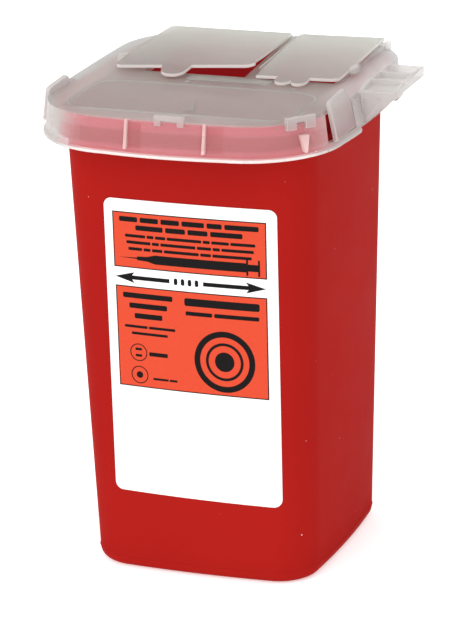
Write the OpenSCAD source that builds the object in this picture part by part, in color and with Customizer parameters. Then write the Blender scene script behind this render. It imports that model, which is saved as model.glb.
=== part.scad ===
// One-quart sharps container with a press-fit lid, two hinged flaps and a front label.
// Millimetres. +Z is up, -Y is the front with the label, +X is the side with the bracket.
// The origin is the centre of the flat bottom face.

/* [Container] */
// Width of the body at the bottom
body_bottom_w = 76; // [72:0.5:80]
// Depth of the body at the bottom
body_bottom_d = 77.4; // [73:0.2:81]
// Width of the body where the lid's bead begins
body_top_w = 83.8; // [80:0.2:85]
// Depth of the body where the lid's bead begins
body_top_d = 85.8; // [82:0.2:88]
// Corner radius of the body
body_corner_r = 13.5; // [10:0.5:16]
// How far each side bulges out at its middle
body_bow = 0.85; // [0.4:0.05:1.2]
// Radius of the rounded bottom edge
body_foot_r = 3.4; // [2.6:0.2:4]
// Wall thickness of the container
body_wall = 1.6; // [1.2:0.1:2]

/* [Rim] */
// Height of the container's upper rim
rim_top_z = 152.8; // [152:0.2:152.8]
// Height of the shelf below the rim
shelf_z = 144.3; // [143.5:0.1:145]
// Width of the upper rim
rim_w = 89.8; // [88:0.2:90]
// Depth of the upper rim
rim_d = 104.6; // [102:0.2:104.8]

/* [Lid] */
// Height of the lid's lower edge
lid_bottom_z = 142.7; // [142:0.1:143]
// Height of the lid's deck
deck_z = 154.5; // [154.5:0.1:155]
// Width across the lid's bead
bead_w = 100; // [99:0.5:101]
// Depth across the lid's bead
bead_d = 114.8; // [113:0.2:116]
// Width of the deck
deck_w = 94; // [93:0.5:95]
// Depth of the deck
deck_d = 108.8; // [108:0.2:110]
// Corner radius of the deck
deck_corner_r = 26.9; // [24:0.1:28]
// Wall thickness of the lid
lid_wall = 1.4; // [1.2:0.1:1.6]

/* [Flaps] */
// Left edge of the large flap at its hinge
large_left_x = -34.8; // [-35.5:0.1:-34.5]
// Right edge of the large flap at its hinge
large_right_x = 6.8; // [6:0.1:7]
// Left edge of the small flap at its hinge
small_left_x = 9.9; // [9.8:0.1:10.4]
// Right edge of the small flap
small_right_x = 38.3; // [37.8:0.1:38.6]
// Thickness of both flaps
flap_t = 1; // [0.8:0.1:1]
// How far the large flap stands open, in degrees
ajar_angle = 0.75; // [0:0.05:2]
// How far the large flap's free corner is warped up
warp_rise = 2.7; // [0:0.1:3.2]

/* [Lock arms] */
// Front end of each lock arm
arm_front_y = -34.2; // [-35:0.1:-33]
// Rear end of each lock arm
arm_rear_y = -17; // [-18:0.1:-16]
// Top of the right lock arm
right_arm_top_z = 158.75; // [157:0.05:159]
// Top of the left lock arm
left_arm_top_z = 157; // [156:0.1:158]
// Thickness of the lock arms
arm_t = 1.5; // [1.2:0.1:1.5]

/* [Side bracket] */
// Outer edge of the bracket
bracket_outer_x = 59.2; // [57:0.1:60]
// Front end of the bracket
bracket_front_y = -8.7; // [-9:0.1:-7.5]
// Rear end of the bracket
bracket_rear_y = 19.3; // [18:0.1:20]
// Number of pockets in the bracket's tray
bracket_pockets = 3; // [2:1:4]

/* [Label] */
// Width of the label
label_w = 56.6; // [50:0.2:58]
// Height of the label
label_h = 97.1; // [90:0.1:98]
// Lower edge of the label
label_bottom_z = 27.7; // [24:0.1:30]
// Sideways place of the label's centre
label_x = 2.9; // [0:0.1:3]
// Thickness of the label
label_t = 0.2; // [0.1:0.05:0.3]

/* [Hidden] */
red = [0.72, 0.09, 0.10];
frosted = [0.82, 0.80, 0.77];
paper = [0.96, 0.96, 0.95];
corner_steps = 10;
side_steps = 6;
cut = 0.1;
floor_t = 2;
neck_inset = 1.3;
shelf_t = 1.6;
flange_h = 2.5;
shelf_reach = 1.6;
bead_bow = 1.4;
bead_h = 2.7;
bead_mid_r = deck_corner_r + 1.4;
deck_bow = 0.3;
skirt_draft = 2.1;
opening_front_y = -0.8;
opening_rear_y = 40.5;
divider_lap = 1.3;
large_side_lap = 7.8;
small_side_lap = 2;
curb_rear_y = 44.6;
flap_gap = 0.2;
flap_front_y = -2.6;
flap_rear_y = 43.2;
flap_rise = 2.2;
flap_crown = 0.5;
crown_steps = 12;
flap_length = flap_rear_y - flap_front_y;
large_left_flare = 1.6;
large_right_flare = 1.3;
small_left_flare = 1.3;
warp_along = 3;
sheet_columns = 12;
hinge_y = 44;
hinge_z = deck_z + 2.8;
hinge_r = 0.5;
large_tab_reach = 6.2;
large_tab_x = -15.2;
large_tab_w = 10;
large_tab_tip_w = 6.6;
large_tab_drop = 0.1;
small_tab_x = 23.7;
small_tab_w = 10.6;
small_tab_reach = 5.2;
ear_reach = 2.5;
ear_front = 1.5;
ear_length = 9;
ear_curl = 0.6;
leaf_steps = concat(
    [0, ear_front / 2, ear_front, 2.5, 4, 6.5],
    [for (d = [ear_length:4:41]) d],
    [flap_length]);
lug_rise = 0.5;
large_lug_x = -37.6;
large_lug_y = 7;
large_lug_r = 1.8;
small_lug_x = 39.4;
small_lug_y = 8.6;
small_lug_r = 1.4;
small_lug_length = 3.2;
post_w = 1.7;
post_d = 2;
arm_slot = 1.3;
arm_root_x = 48;
arm_root_z = 146.5;
arm_root_r = 0.85;
right_arm_lean = 11;
left_arm_lean = 8.5;
left_arm_inset = 0.7;
window_inner_x = 44.2;
front_catch_x = 2.5;
corner_catch_turn = 50;
panel_front_y = -46;
panel_rear_y = -14;
panel_half_w = 37.2;
ridge_w = 1.2;
ridge_h = 0.7;
tray_z = 153.5;
tray_t = 1.2;
tray_rim_z = 156.5;
tray_rim_t = 1.3;
bracket_inner_x = 46.8;
gusset_foot_z = 144.9;
bead_gap_front_y = -13.5;
bead_gap_rear_y = 26;
bead_gap_h = 2.1;
label_corner_r = 2.6;
label_gap = 0.02;

// Closed outline of a rectangle with rounded corners and gently bowed sides, anticlockwise
function quarter(a, b, r, bow) = concat(
    [for (i = [0:corner_steps]) let (t = 90 * i / corner_steps)
        [a - bow - r + r * cos(t), b - bow - r + r * sin(t)]],
    [for (i = [1:side_steps - 1]) let (s = 1 - 2 * i / side_steps)
        [(a - bow - r) * s, b - bow * s * s]]);
function turned(p, q) = [p.x * cos(90 * q) - p.y * sin(90 * q), p.x * sin(90 * q) + p.y * cos(90 * q)];
function outline(w, d, r, bow) = [for (q = [0:3])
    for (p = quarter(q % 2 == 0 ? w / 2 : d / 2, q % 2 == 0 ? d / 2 : w / 2, r, bow)) turned(p, q)];

// A solid skinned over rings, each [z, width, depth, corner radius, bow]
module loft(rings) {
    n = 4 * (corner_steps + side_steps);
    last = len(rings) - 1;
    points = [for (k = rings) for (p = outline(k[1], k[2], k[3], k[4])) [p.x, p.y, k[0]]];
    sides = [for (i = [0:last - 1]) for (j = [0:n - 1]) let (m = (j + 1) % n)
        [i * n + j, (i + 1) * n + j, (i + 1) * n + m, i * n + m]];
    bottom = [for (j = [0:n - 1]) j];
    top = [for (j = [0:n - 1]) last * n + n - 1 - j];
    polyhedron(points, concat([bottom, top], sides));
}

// Ring of the tapered body at a height, moved outwards by grow
function body_ring(z, grow) = let (t = z / lid_bottom_z) [z,
    body_bottom_w + (body_top_w - body_bottom_w) * t + 2 * grow,
    body_bottom_d + (body_top_d - body_bottom_d) * t + 2 * grow,
    body_corner_r + grow, body_bow];

module body_outside() {
    foot = [for (i = [0:4]) let (a = 90 * i / 4)
        body_ring(body_foot_r * (1 - cos(a)), -body_foot_r * (1 - sin(a)))];
    loft(concat(foot, [body_ring(shelf_z + shelf_t, 0)]));
}

module body_inside() {
    round_r = body_foot_r - body_wall;
    foot = [for (i = [0:3]) let (a = 90 * i / 3)
        body_ring(floor_t + round_r * (1 - cos(a)), -body_wall - round_r * (1 - sin(a)))];
    loft(concat(foot, [body_ring(shelf_z + shelf_t + cut, -body_wall)]));
}

// A flat slab with the rim's outline, moved inwards by inset
module rim_slab(z, h, inset, bow = deck_bow) {
    translate([0, 0, z])
    linear_extrude(h)
    polygon(outline(rim_w - 2 * inset, rim_d - 2 * inset, deck_corner_r - 2 - inset, bow));
}

module container() {
    color(red)
    difference() {
        union() {
            body_outside();
            rim_slab(shelf_z, shelf_t, -shelf_reach, bead_bow);
            rim_slab(shelf_z + shelf_t - cut, rim_top_z - shelf_z - shelf_t + cut, neck_inset);
            rim_slab(rim_top_z - flange_h, flange_h, 0);
        }
        body_inside();
        rim_slab(shelf_z + shelf_t, rim_top_z - shelf_z, neck_inset + body_wall);
    }
}

module front_label() {
    low = label_bottom_z - 1;
    high = label_bottom_z + label_h + 1;
    color(paper)
    intersection() {
        difference() {
            loft([body_ring(low, label_gap + label_t), body_ring(high, label_gap + label_t)]);
            loft([body_ring(low - cut, label_gap), body_ring(high + cut, label_gap)]);
        }
        translate([label_x, 0, label_bottom_z + label_h / 2])
        rotate([90, 0, 0])
        linear_extrude(body_top_d)
        rounded_plate(label_w, label_h, label_corner_r);
    }
}

module rounded_plate(w, h, r) {
    square([w - 2 * r, h], center = true);
    square([w, h - 2 * r], center = true);
    for (x = [-1, 1], y = [-1, 1])
        translate([x * (w / 2 - r), y * (h / 2 - r)])
        circle(r, $fn = 32);
}

// A slab between two flat sides at x0 and x1 whose outline lies in the Y-Z plane
module side_profile(x0, x1, outline_yz) {
    translate([x0, 0, 0])
    rotate([90, 0, 90])
    linear_extrude(x1 - x0)
    polygon(outline_yz);
}

module lid_outside() {
    loft([
        [lid_bottom_z, bead_w - 1.4, bead_d - 1.4, bead_mid_r, bead_bow],
        [lid_bottom_z + 0.5, bead_w - 0.2, bead_d - 0.2, bead_mid_r, bead_bow],
        [lid_bottom_z + 1.3, bead_w, bead_d, bead_mid_r, bead_bow],
        [lid_bottom_z + 2.2, bead_w - 0.4, bead_d - 0.4, bead_mid_r, bead_bow],
        [lid_bottom_z + bead_h, bead_w - 1.8, bead_d - 1.8, bead_mid_r, bead_bow],
        [deck_z - 0.6, deck_w + 0.2, deck_d + 0.2, deck_corner_r, deck_bow],
        [deck_z, deck_w - 0.8, deck_d - 0.8, deck_corner_r - 0.4, deck_bow]]);
}

module lid_inside() {
    loft([
        [lid_bottom_z - cut, bead_w - 2 * skirt_draft, bead_d - 2 * skirt_draft, bead_mid_r - 2, bead_bow],
        [deck_z - lid_wall, deck_w - 2 * lid_wall, deck_d - 2 * lid_wall,
            deck_corner_r - lid_wall, deck_bow]]);
}

module lid_shell() {
    difference() {
        lid_outside();
        lid_inside();
    }
}

// How far ahead of its hinge edge a place on a flap lies, from 0 to 1 at the lip
function ahead(y) = (flap_rear_y - y) / flap_length;

// Height of a closed flap's underside at a place along Y
function flap_under_z(y) = let (s = 1 - ahead(y))
    deck_z + flap_gap + flap_rise * s + 4 * flap_crown * s * (1 - s);

// The long edges of the flaps, which spread a little from the hinge to the lip
function large_left(y) = large_left_x - large_left_flare * ahead(y);
function large_right(y) = large_right_x + large_right_flare * ahead(y);
function small_left(y) = small_left_x + small_left_flare * ahead(y);

// The sloping walls that carry the flaps
module curb() {
    side_profile(large_left_x, small_right_x, [
        [opening_front_y, deck_z - cut],
        [curb_rear_y, deck_z - cut],
        [curb_rear_y, deck_z + flap_rise - flap_gap],
        [opening_front_y, deck_z + 0.02]]);
}

// A small post at the outer end of the small flap's hinge
module hinge_post() {
    translate([small_right_x + 0.2, curb_rear_y - post_d, deck_z - cut])
    cube([post_w, post_d, hinge_z - deck_z + cut]);
}

// A hole through the deck with a left and a right edge, each [x at the front, x at the rear]
module drop_opening(left, right) {
    translate([0, 0, lid_bottom_z])
    linear_extrude(deck_z + 5 - lid_bottom_z)
    polygon([
        [left[0], opening_front_y],
        [right[0], opening_front_y],
        [right[1], opening_rear_y],
        [left[1], opening_rear_y]]);
}

module panel_ridge() {
    depth = panel_rear_y - panel_front_y;
    translate([0, (panel_front_y + panel_rear_y) / 2, deck_z - cut])
    linear_extrude(ridge_h + cut)
    difference() {
        rounded_plate(2 * panel_half_w, depth, 6);
        rounded_plate(2 * (panel_half_w - ridge_w), depth - 2 * ridge_w, 6 - ridge_w);
    }
}

// Upright ribs on the front of the skirt
module skirt_rib(x) {
    rib_low_z = lid_bottom_z + bead_h - 0.2;
    side_profile(x, x + 1, [
        [-bead_d / 2 + 0.5, rib_low_z],
        [-bead_d / 2 + 2.2, rib_low_z],
        [-deck_d / 2 + 0.8, deck_z - 0.4],
        [-deck_d / 2 - 0.4, deck_z - 0.4]]);
}

module arm_window() {
    translate([window_inner_x, arm_front_y - arm_slot, lid_bottom_z + bead_h])
    cube([8, arm_rear_y - arm_front_y + 2 * arm_slot, deck_z]);
}

module lid_frame() {
    color(frosted)
    difference() {
        union() {
            lid_shell();
            curb();
            hinge_post();
            panel_ridge();
            skirt_rib(-12.1);
            skirt_rib(13.2);
        }
        drop_opening(
            [for (i = [0, 1]) large_left_x + large_side_lap],
            [for (y = [opening_front_y, opening_rear_y]) large_right(y) - divider_lap]);
        drop_opening(
            [for (y = [opening_front_y, opening_rear_y]) small_left(y) + divider_lap],
            [for (i = [0, 1]) small_right_x - small_side_lap]);
        arm_window();
        mirror([1, 0, 0])
        arm_window();
        translate([bead_w / 2 - 5, bead_gap_front_y, lid_bottom_z - cut])
        cube([10, bead_gap_rear_y - bead_gap_front_y, bead_gap_h + cut]);
    }
}

// One upright cross wall of the bracket with its sloping foot
module gusset(y) {
    translate([0, y + tray_rim_t, 0])
    rotate([90, 0, 0])
    linear_extrude(tray_rim_t)
    polygon([
        [bracket_inner_x, gusset_foot_z],
        [bracket_inner_x + 2.5, gusset_foot_z],
        [bracket_outer_x, tray_z],
        [bracket_outer_x, tray_z + tray_t],
        [bracket_inner_x, tray_z + tray_t]]);
}

// A shelf beside the lid with a rim round its pockets, held up by a gusset at each end
module side_bracket() {
    length = bracket_rear_y - bracket_front_y;
    pitch = (length - tray_rim_t) / bracket_pockets;
    reach = bracket_outer_x - bracket_inner_x;
    color(frosted)
    difference() {
        union() {
            translate([bracket_inner_x, bracket_front_y, tray_z])
            cube([reach, length, tray_t]);
            for (i = [0:bracket_pockets])
                translate([bracket_inner_x, bracket_front_y + i * pitch, tray_z])
                cube([reach, tray_rim_t, (tray_rim_z - tray_z) * (i == 0 ? 0.5 : 1)]);
            side_profile(bracket_inner_x, bracket_inner_x + tray_rim_t, [
                [bracket_front_y, tray_z],
                [bracket_rear_y, tray_z],
                [bracket_rear_y, tray_rim_z],
                [bracket_front_y + pitch, tray_rim_z],
                [bracket_front_y, tray_z + tray_t]]);
            side_profile(bracket_outer_x - tray_rim_t, bracket_outer_x, [
                [bracket_front_y, tray_z - 0.5],
                [bracket_front_y + 5, tray_z - 0.5],
                [bracket_front_y + 6, tray_z],
                [bracket_rear_y, tray_z],
                [bracket_rear_y, tray_rim_z],
                [bracket_front_y + pitch, tray_rim_z - 0.6],
                [bracket_front_y, tray_z + tray_t]]);
            gusset(bracket_front_y);
            gusset(bracket_rear_y - tray_rim_t);
        }
        lid_outside();
    }
}

// A small bridge on two feet at the edge of the deck, along X
module catch_bridge(span, foot_w, foot_h) {
    translate([-span / 2, -0.9, deck_z])
    cube([span, 1.5, 1.6]);
    for (x = [-span / 2, span / 2 - foot_w])
        translate([x, -0.9, deck_z + 0.1 - foot_h])
        cube([foot_w, 1.5, foot_h]);
}

module front_catch() {
    color(frosted)
    difference() {
        translate([front_catch_x, -deck_d / 2 - 0.2, 0])
        catch_bridge(9.4, 2, 1.8);
        lid_outside();
    }
}

module corner_catch() {
    corner_x = deck_w / 2 - deck_bow - deck_corner_r;
    corner_y = deck_bow + deck_corner_r - deck_d / 2;
    color(frosted)
    difference() {
        translate([corner_x, corner_y, 0])
        rotate([0, 0, corner_catch_turn])
        translate([0, -deck_corner_r - 0.3, 0])
        catch_bridge(10, 3.4, 2.4);
        lid_outside();
    }
}

// A flat flap: a crowned plate cut to its plan
module flap_plate(plan) {
    places = [for (i = [0:crown_steps]) flap_front_y + flap_length * i / crown_steps];
    top = [for (y = places) [y, flap_under_z(y) + flap_t]];
    under = [for (i = [crown_steps:-1:0]) [places[i], flap_under_z(places[i])]];
    intersection() {
        side_profile(large_left_x - 1, small_right_x + 1, concat(top, under));
        translate([0, 0, deck_z - 1])
        linear_extrude(8)
        polygon(plan);
    }
}

// How far the large flap's warp lifts a place: nothing at the hinge and the left side,
// most at the free right corner, whose ear curls up as well
function warp_z(x, y) =
    warp_rise * max(0, (x - large_left_x) / (large_right_x - large_left_x)) * pow(ahead(y), warp_along)
    + ear_curl * pow(max(0, (x - large_right(y)) / ear_reach), 2);

// A thin sheet over rows along Y, each [y, left x, right x, underside height at each column]
module sheet(rows, t) {
    n = sheet_columns;
    last = len(rows) - 1;
    level = (last + 1) * (n + 1);
    function at(k, i, j) = k * level + i * (n + 1) + j;
    points = [for (k = [0, 1]) for (row = rows) for (j = [0:n])
        [row[1] + (row[2] - row[1]) * j / n, row[0], row[3][j] + k * t]];
    faces = concat(
        [for (i = [0:last - 1]) for (j = [0:n - 1]) [at(1, i, j), at(1, i + 1, j), at(1, i + 1, j + 1)]],
        [for (i = [0:last - 1]) for (j = [0:n - 1]) [at(1, i, j), at(1, i + 1, j + 1), at(1, i, j + 1)]],
        [for (i = [0:last - 1]) for (j = [0:n - 1]) [at(0, i, j), at(0, i + 1, j + 1), at(0, i + 1, j)]],
        [for (i = [0:last - 1]) for (j = [0:n - 1]) [at(0, i, j), at(0, i, j + 1), at(0, i + 1, j + 1)]],
        [for (j = [0:n - 1]) [at(0, 0, j), at(1, 0, j), at(1, 0, j + 1), at(0, 0, j + 1)]],
        [for (j = [0:n - 1]) [at(0, last, j + 1), at(1, last, j + 1), at(1, last, j), at(0, last, j)]],
        [for (i = [0:last - 1]) [at(0, i + 1, 0), at(1, i + 1, 0), at(1, i, 0), at(0, i, 0)]],
        [for (i = [0:last - 1]) [at(0, i, n), at(1, i, n), at(1, i + 1, n), at(0, i + 1, n)]]);
    polyhedron(points, faces);
}

// A row of the warped large flap, at a distance behind its lip
function leaf_row(behind) =
    let (y = flap_front_y + behind,
        ear = min(behind / ear_front, max(0, (ear_length - behind) / (ear_length - ear_front))),
        left = large_left(y) + max(0, 1.8 - behind),
        right = large_right(y) + ear_reach * ear)
    [y, left, right, [for (j = [0:sheet_columns])
        flap_under_z(y) + warp_z(left + (right - left) * j / sheet_columns, y)]];

// A row of the large flap's finger tab, which droops from the lip towards the deck
function tab_row(s) =
    let (y = flap_front_y - large_tab_reach * s,
        half = (large_tab_w + (large_tab_tip_w - large_tab_w) * max(0, s)) / 2
            * (s < 0.6 ? 1 : sqrt(1 - pow((s - 0.6) / 0.42, 2))),
        low = deck_z + large_tab_drop)
    [y, large_tab_x - half, large_tab_x + half, [for (j = [0:sheet_columns])
        let (root = flap_under_z(flap_front_y)
            + warp_z(large_tab_x - half + 2 * half * j / sheet_columns, flap_front_y))
        0.05 + root + (low - root) * max(0, s)]];

module large_tab() {
    sheet([for (s = [1, 0.97, 0.9, 0.8, 0.7, 0.6, 0.4, 0.2, 0, -0.15]) tab_row(s)], flap_t - 0.1);
}

module small_tab() {
    lobe_r = small_tab_w / 4;
    translate([small_tab_x, flap_front_y, deck_z + flap_gap + 0.05])
    linear_extrude(flap_t - 0.1)
    for (side = [-1, 1])
        hull() {
            translate([side * lobe_r, lobe_r - small_tab_reach])
            circle(lobe_r, $fn = 32);
            translate([side * lobe_r - lobe_r, 0])
            square([2 * lobe_r, 0.8]);
        }
}

// A round lug at the side of a flap, drawn out along Y
module side_lug(x, y, r, length) {
    translate([x, 0, flap_under_z(y)])
    linear_extrude(flap_t + lug_rise)
    hull()
    for (end = [y, y + length])
        translate([0, end])
        circle(r, $fn = 32);
}

module large_flap() {
    color(frosted)
    translate([0, hinge_y, hinge_z])
    rotate([-ajar_angle, 0, 0])
    translate([0, -hinge_y, -hinge_z]) {
        sheet([for (behind = leaf_steps) leaf_row(behind)], flap_t);
        large_tab();
        side_lug(large_lug_x, large_lug_y, large_lug_r, 0.01);
    }
}

module small_flap() {
    color(frosted) {
        flap_plate([
            [small_left(flap_front_y), flap_front_y],
            [small_right_x - 2, flap_front_y],
            [small_right_x, flap_front_y + 2],
            [small_right_x, flap_rear_y],
            [small_left_x, flap_rear_y]]);
        small_tab();
        side_lug(small_lug_x, small_lug_y, small_lug_r, small_lug_length);
    }
}

// The hinge bead of a flap on its thin web, along the top of the rear wall
module hinge_bead(x0, x1) {
    wall_top_z = deck_z + flap_rise - flap_gap;
    color(frosted) {
        translate([x0, hinge_y, hinge_z])
        rotate([0, 90, 0])
        cylinder(h = x1 - x0, r = hinge_r, $fn = 32);
        translate([x0, hinge_y - 0.2, wall_top_z])
        cube([x1 - x0, 0.4, hinge_z - wall_top_z]);
    }
}

module large_flap_hinge() {
    hinge_bead(large_left_x + 0.6, large_right_x - 0.6);
}

module small_flap_hinge() {
    hinge_bead(small_left_x + 0.6, small_right_x - 0.6);
}

// A spring arm on a round root above the bead, standing in its window and leaning in with the skirt
module lock_arm(top_z, lean) {
    reach = (top_z - arm_root_z - arm_t / 2 * sin(lean)) / cos(lean);
    round_w = 3.5;
    translate([arm_root_x, 0, arm_root_z])
    rotate([0, -lean, 0]) {
        translate([0, arm_rear_y, 0])
        rotate([90, 0, 0])
        cylinder(h = arm_rear_y - arm_front_y, r = arm_root_r, $fn = 32);
        side_profile(-arm_t / 2, arm_t / 2, [
            [arm_front_y, 0],
            [arm_rear_y, 0],
            [arm_rear_y, reach - 1.2 * round_w],
            [arm_rear_y - 0.5 * round_w, reach - 0.3 * round_w],
            [arm_rear_y - round_w, reach],
            [arm_front_y + 0.8, reach - 0.6],
            [arm_front_y, reach - 1.4]]);
    }
}

module right_lock_arm() {
    color(frosted)
    lock_arm(right_arm_top_z, right_arm_lean);
}

module left_lock_arm() {
    color(frosted)
    translate([left_arm_inset, 0, 0])
    mirror([1, 0, 0])
    lock_arm(left_arm_top_z, left_arm_lean);
}

container();
front_label();
lid_frame();
side_bracket();
front_catch();
corner_catch();
large_flap();
small_flap();
large_flap_hinge();
small_flap_hinge();
left_lock_arm();
right_lock_arm();
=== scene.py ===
"""Looks of a one-quart sharps container: satin red body, frosted lid with two flaps, printed label.

Sizes in the script are millimetres in the frame of the CAD part: +Z up, -Y the front, the origin at
the middle of the flat bottom. mm() turns them into Blender's metres.
"""

import math

import bmesh
import bpy
from mathutils import Matrix, Vector


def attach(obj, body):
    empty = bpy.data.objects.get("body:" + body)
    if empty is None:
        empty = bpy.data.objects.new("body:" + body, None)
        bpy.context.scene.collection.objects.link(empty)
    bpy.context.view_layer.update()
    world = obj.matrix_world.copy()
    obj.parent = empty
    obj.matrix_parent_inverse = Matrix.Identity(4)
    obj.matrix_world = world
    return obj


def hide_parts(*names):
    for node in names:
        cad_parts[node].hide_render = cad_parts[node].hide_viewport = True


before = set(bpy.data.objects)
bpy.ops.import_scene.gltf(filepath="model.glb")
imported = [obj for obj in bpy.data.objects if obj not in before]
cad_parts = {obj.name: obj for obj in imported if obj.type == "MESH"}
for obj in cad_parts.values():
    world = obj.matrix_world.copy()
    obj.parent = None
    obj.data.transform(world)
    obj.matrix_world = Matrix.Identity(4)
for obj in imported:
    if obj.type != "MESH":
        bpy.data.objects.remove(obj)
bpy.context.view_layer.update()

# -------- driving dimensions, millimetres

# The container: width and depth at its bottom and under its lid, then the rest.
BODY_BOTTOM = (76.0, 77.4)
BODY_TOP = (83.8, 85.8)
BODY_CORNER = 13.5
BODY_BOW = 0.85
BODY_FOOT = 3.4
BODY_WALL = 1.6
BODY_FLOOR = 2.0
FLOOR_ROUND = 2.4
FOOT_RECESS = 0.5
FOOT_RECESS_INSETS = (9.4, 8.8)
FOOT_LINE_Z = (3.7, 3.95, 4.2)
FOOT_LINE_H = 0.2
CAP_INSET = 14

# Its rim: a shelf, a neck and a flange.
RIM_TOP_Z = 152.8
RIM_SIZE = (89.8, 104.6)
SHELF_Z = 144.3
SHELF_T = 1.6
SHELF_REACH = 1.6
NECK_Z = SHELF_Z + SHELF_T
FLANGE_H = 2.5
NECK_INSET = 1.3
RIM_EDGE = 0.4
RIM_FILLET = 0.3

# The lid.
LID_BOTTOM_Z = 142.7
DECK_Z = 154.5
BEAD_SIZE = (100.0, 114.8)
DECK_SIZE = (94.0, 108.8)
DECK_CORNER = 26.9
BEAD_CORNER = DECK_CORNER + 1.4
BEAD_BOW = 1.4
DECK_BOW = 0.3
LID_WALL = 1.4
BEAD_H = 2.7
BEAD_R = 1.25
BEAD_OUT = 0.9
DECK_EDGE = 0.7

# The flaps: left and right edges at the hinge, and how far each edge spreads towards the lip.
LARGE_FLAP_X = (-34.8, 6.8)
LARGE_FLARE = (1.6, 1.3)
SMALL_FLAP_X = (9.9, 38.3)
SMALL_FLARE = (-1.3, 0.0)
FLAP_Y = (-2.6, 43.2)
FLAP_T = 1.0
FLAP_GAP = 0.2
FLAP_RISE = 2.2
FLAP_CROWN = 0.5
AJAR = 0.75
WARP_RISE = 2.7
WARP_ALONG = 3.0
EAR_REACH = 2.5
EAR_FRONT = 1.5
EAR_LENGTH = 9.0
EAR_CURL = 0.6
LARGE_TAB_X = -15.2
LARGE_TAB_W = (10.0, 6.6)
LARGE_TAB_REACH = 6.2
LARGE_TAB_DROP = 0.1
SMALL_TAB_X = 23.7
SMALL_TAB_LOBE = 2.65
SMALL_TAB_REACH = 5.2
SMALL_LIP_RISE = 0.25
SMALL_CORNER_RISE = (0.55, 0.6)
LUG_RISE = 0.5
HINGE = (44.0, DECK_Z + 2.8)
OPENING_Y = (-0.8, 40.5)
LARGE_OPENING_LEFT = -27.0
SMALL_OPENING_RIGHT = 36.3
DIVIDER_LAP = 1.3
CURB_REAR = 44.6

# The lock arms' windows, and the break in the bead below the bracket.
ARM_Y = (-34.2, -17.0)
ARM_SLOT = 1.3
WINDOW_X = (44.2, 53)
BEAD_GAP_Y = (-13.5, 26)

LABEL_SIZE = (56.6, 97.1)
LABEL_X = 2.9
LABEL_Z = 27.7
LABEL_CORNER = 2.6
LABEL_LIFT = 0.22
# How far its lower edge is pulled in and down at the left, and how much further at the right.
ASKEW_IN = (0.8, 0.8)
ASKEW_DOWN = (0.4, 0.8)
FIELD_T = 0.03
PRINT_T = 0.06
SINK = 0.02

CORNER_STEPS = 16
SIDE_STEPS = 16


def mm(*values):
    """Millimetres to metres, as one number or as a vector."""
    scaled = [v / 1000 for v in values]
    return scaled[0] if len(scaled) == 1 else Vector(scaled)


# -------- camera, light and floor

CAMERA_AZIMUTH = 20.93
CAMERA_ELEVATION = 18.5
CAMERA_ROLL = -1.59
CAMERA_DISTANCE = 1166.2
CAMERA_TARGET = (1.63, 0, 74.18)
CAMERA_LENS = 205.57
FLOOR_WIDTH = 3000

# In metres and watts.
CAMERA_CLIP = (0.05, 20)
LAMP_PLACE = (-0.5, -1.6, 1.3)
LAMP_AIM = (0, 0, 0.08)
LAMP_SIZE = 1.2
LAMP_POWER = 12


def make_camera():
    """A long lens at the photograph's viewing angle."""
    azimuth = math.radians(CAMERA_AZIMUTH)
    elevation = math.radians(CAMERA_ELEVATION)
    roll = math.radians(CAMERA_ROLL)
    back = Vector((math.sin(azimuth) * math.cos(elevation),
                   -math.cos(azimuth) * math.cos(elevation),
                   math.sin(elevation)))
    level = Vector((math.cos(azimuth), math.sin(azimuth), 0))
    upward = back.cross(level)
    right = level * math.cos(roll) + upward * math.sin(roll)
    up = upward * math.cos(roll) - level * math.sin(roll)
    data = bpy.data.cameras.new("camera")
    data.lens = CAMERA_LENS
    data.clip_start, data.clip_end = CAMERA_CLIP
    camera = bpy.data.objects.new("camera", data)
    turn = Matrix((right, up, back)).transposed().to_4x4()
    place = mm(*CAMERA_TARGET) + back * mm(CAMERA_DISTANCE)
    camera.matrix_world = Matrix.Translation(place) @ turn
    bpy.context.scene.collection.objects.link(camera)
    bpy.context.scene.camera = camera


def make_studio():
    """White surroundings, and one large soft lamp ahead of the container on the left."""
    scene = bpy.context.scene
    scene.view_settings.view_transform = "Standard"
    scene.world = bpy.data.worlds.new("studio")
    scene.world.use_nodes = True
    backdrop = scene.world.node_tree.nodes["Background"]
    backdrop.inputs["Color"].default_value = (1, 1, 1, 1)
    backdrop.inputs["Strength"].default_value = 1.0
    data = bpy.data.lights.new("key", "AREA")
    data.size = LAMP_SIZE
    data.energy = LAMP_POWER
    lamp = bpy.data.objects.new("key", data)
    lamp.location = LAMP_PLACE
    lamp.rotation_euler = (Vector(LAMP_AIM) - Vector(LAMP_PLACE)).to_track_quat("-Z", "Y").to_euler()
    scene.collection.objects.link(lamp)


def make_floor():
    """A plain pale floor under the container."""
    half = FLOOR_WIDTH / 2
    corners = [(-half, -half, 0), (half, -half, 0), (half, half, 0), (-half, half, 0)]
    floor = new_object("floor", mesh_from("floor", corners, [(0, 1, 2, 3)]))
    floor.data.materials.append(floor_material())


# -------- mesh helpers


def new_object(name, mesh):
    """Puts a mesh in the scene."""
    piece = bpy.data.objects.new(name, mesh)
    bpy.context.scene.collection.objects.link(piece)
    return piece


def mesh_from(name, points, faces):
    """A mesh from points in millimetres."""
    mesh = bpy.data.meshes.new(name)
    mesh.from_pydata([mm(*p) for p in points], [], faces)
    mesh.update()
    return mesh


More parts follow.
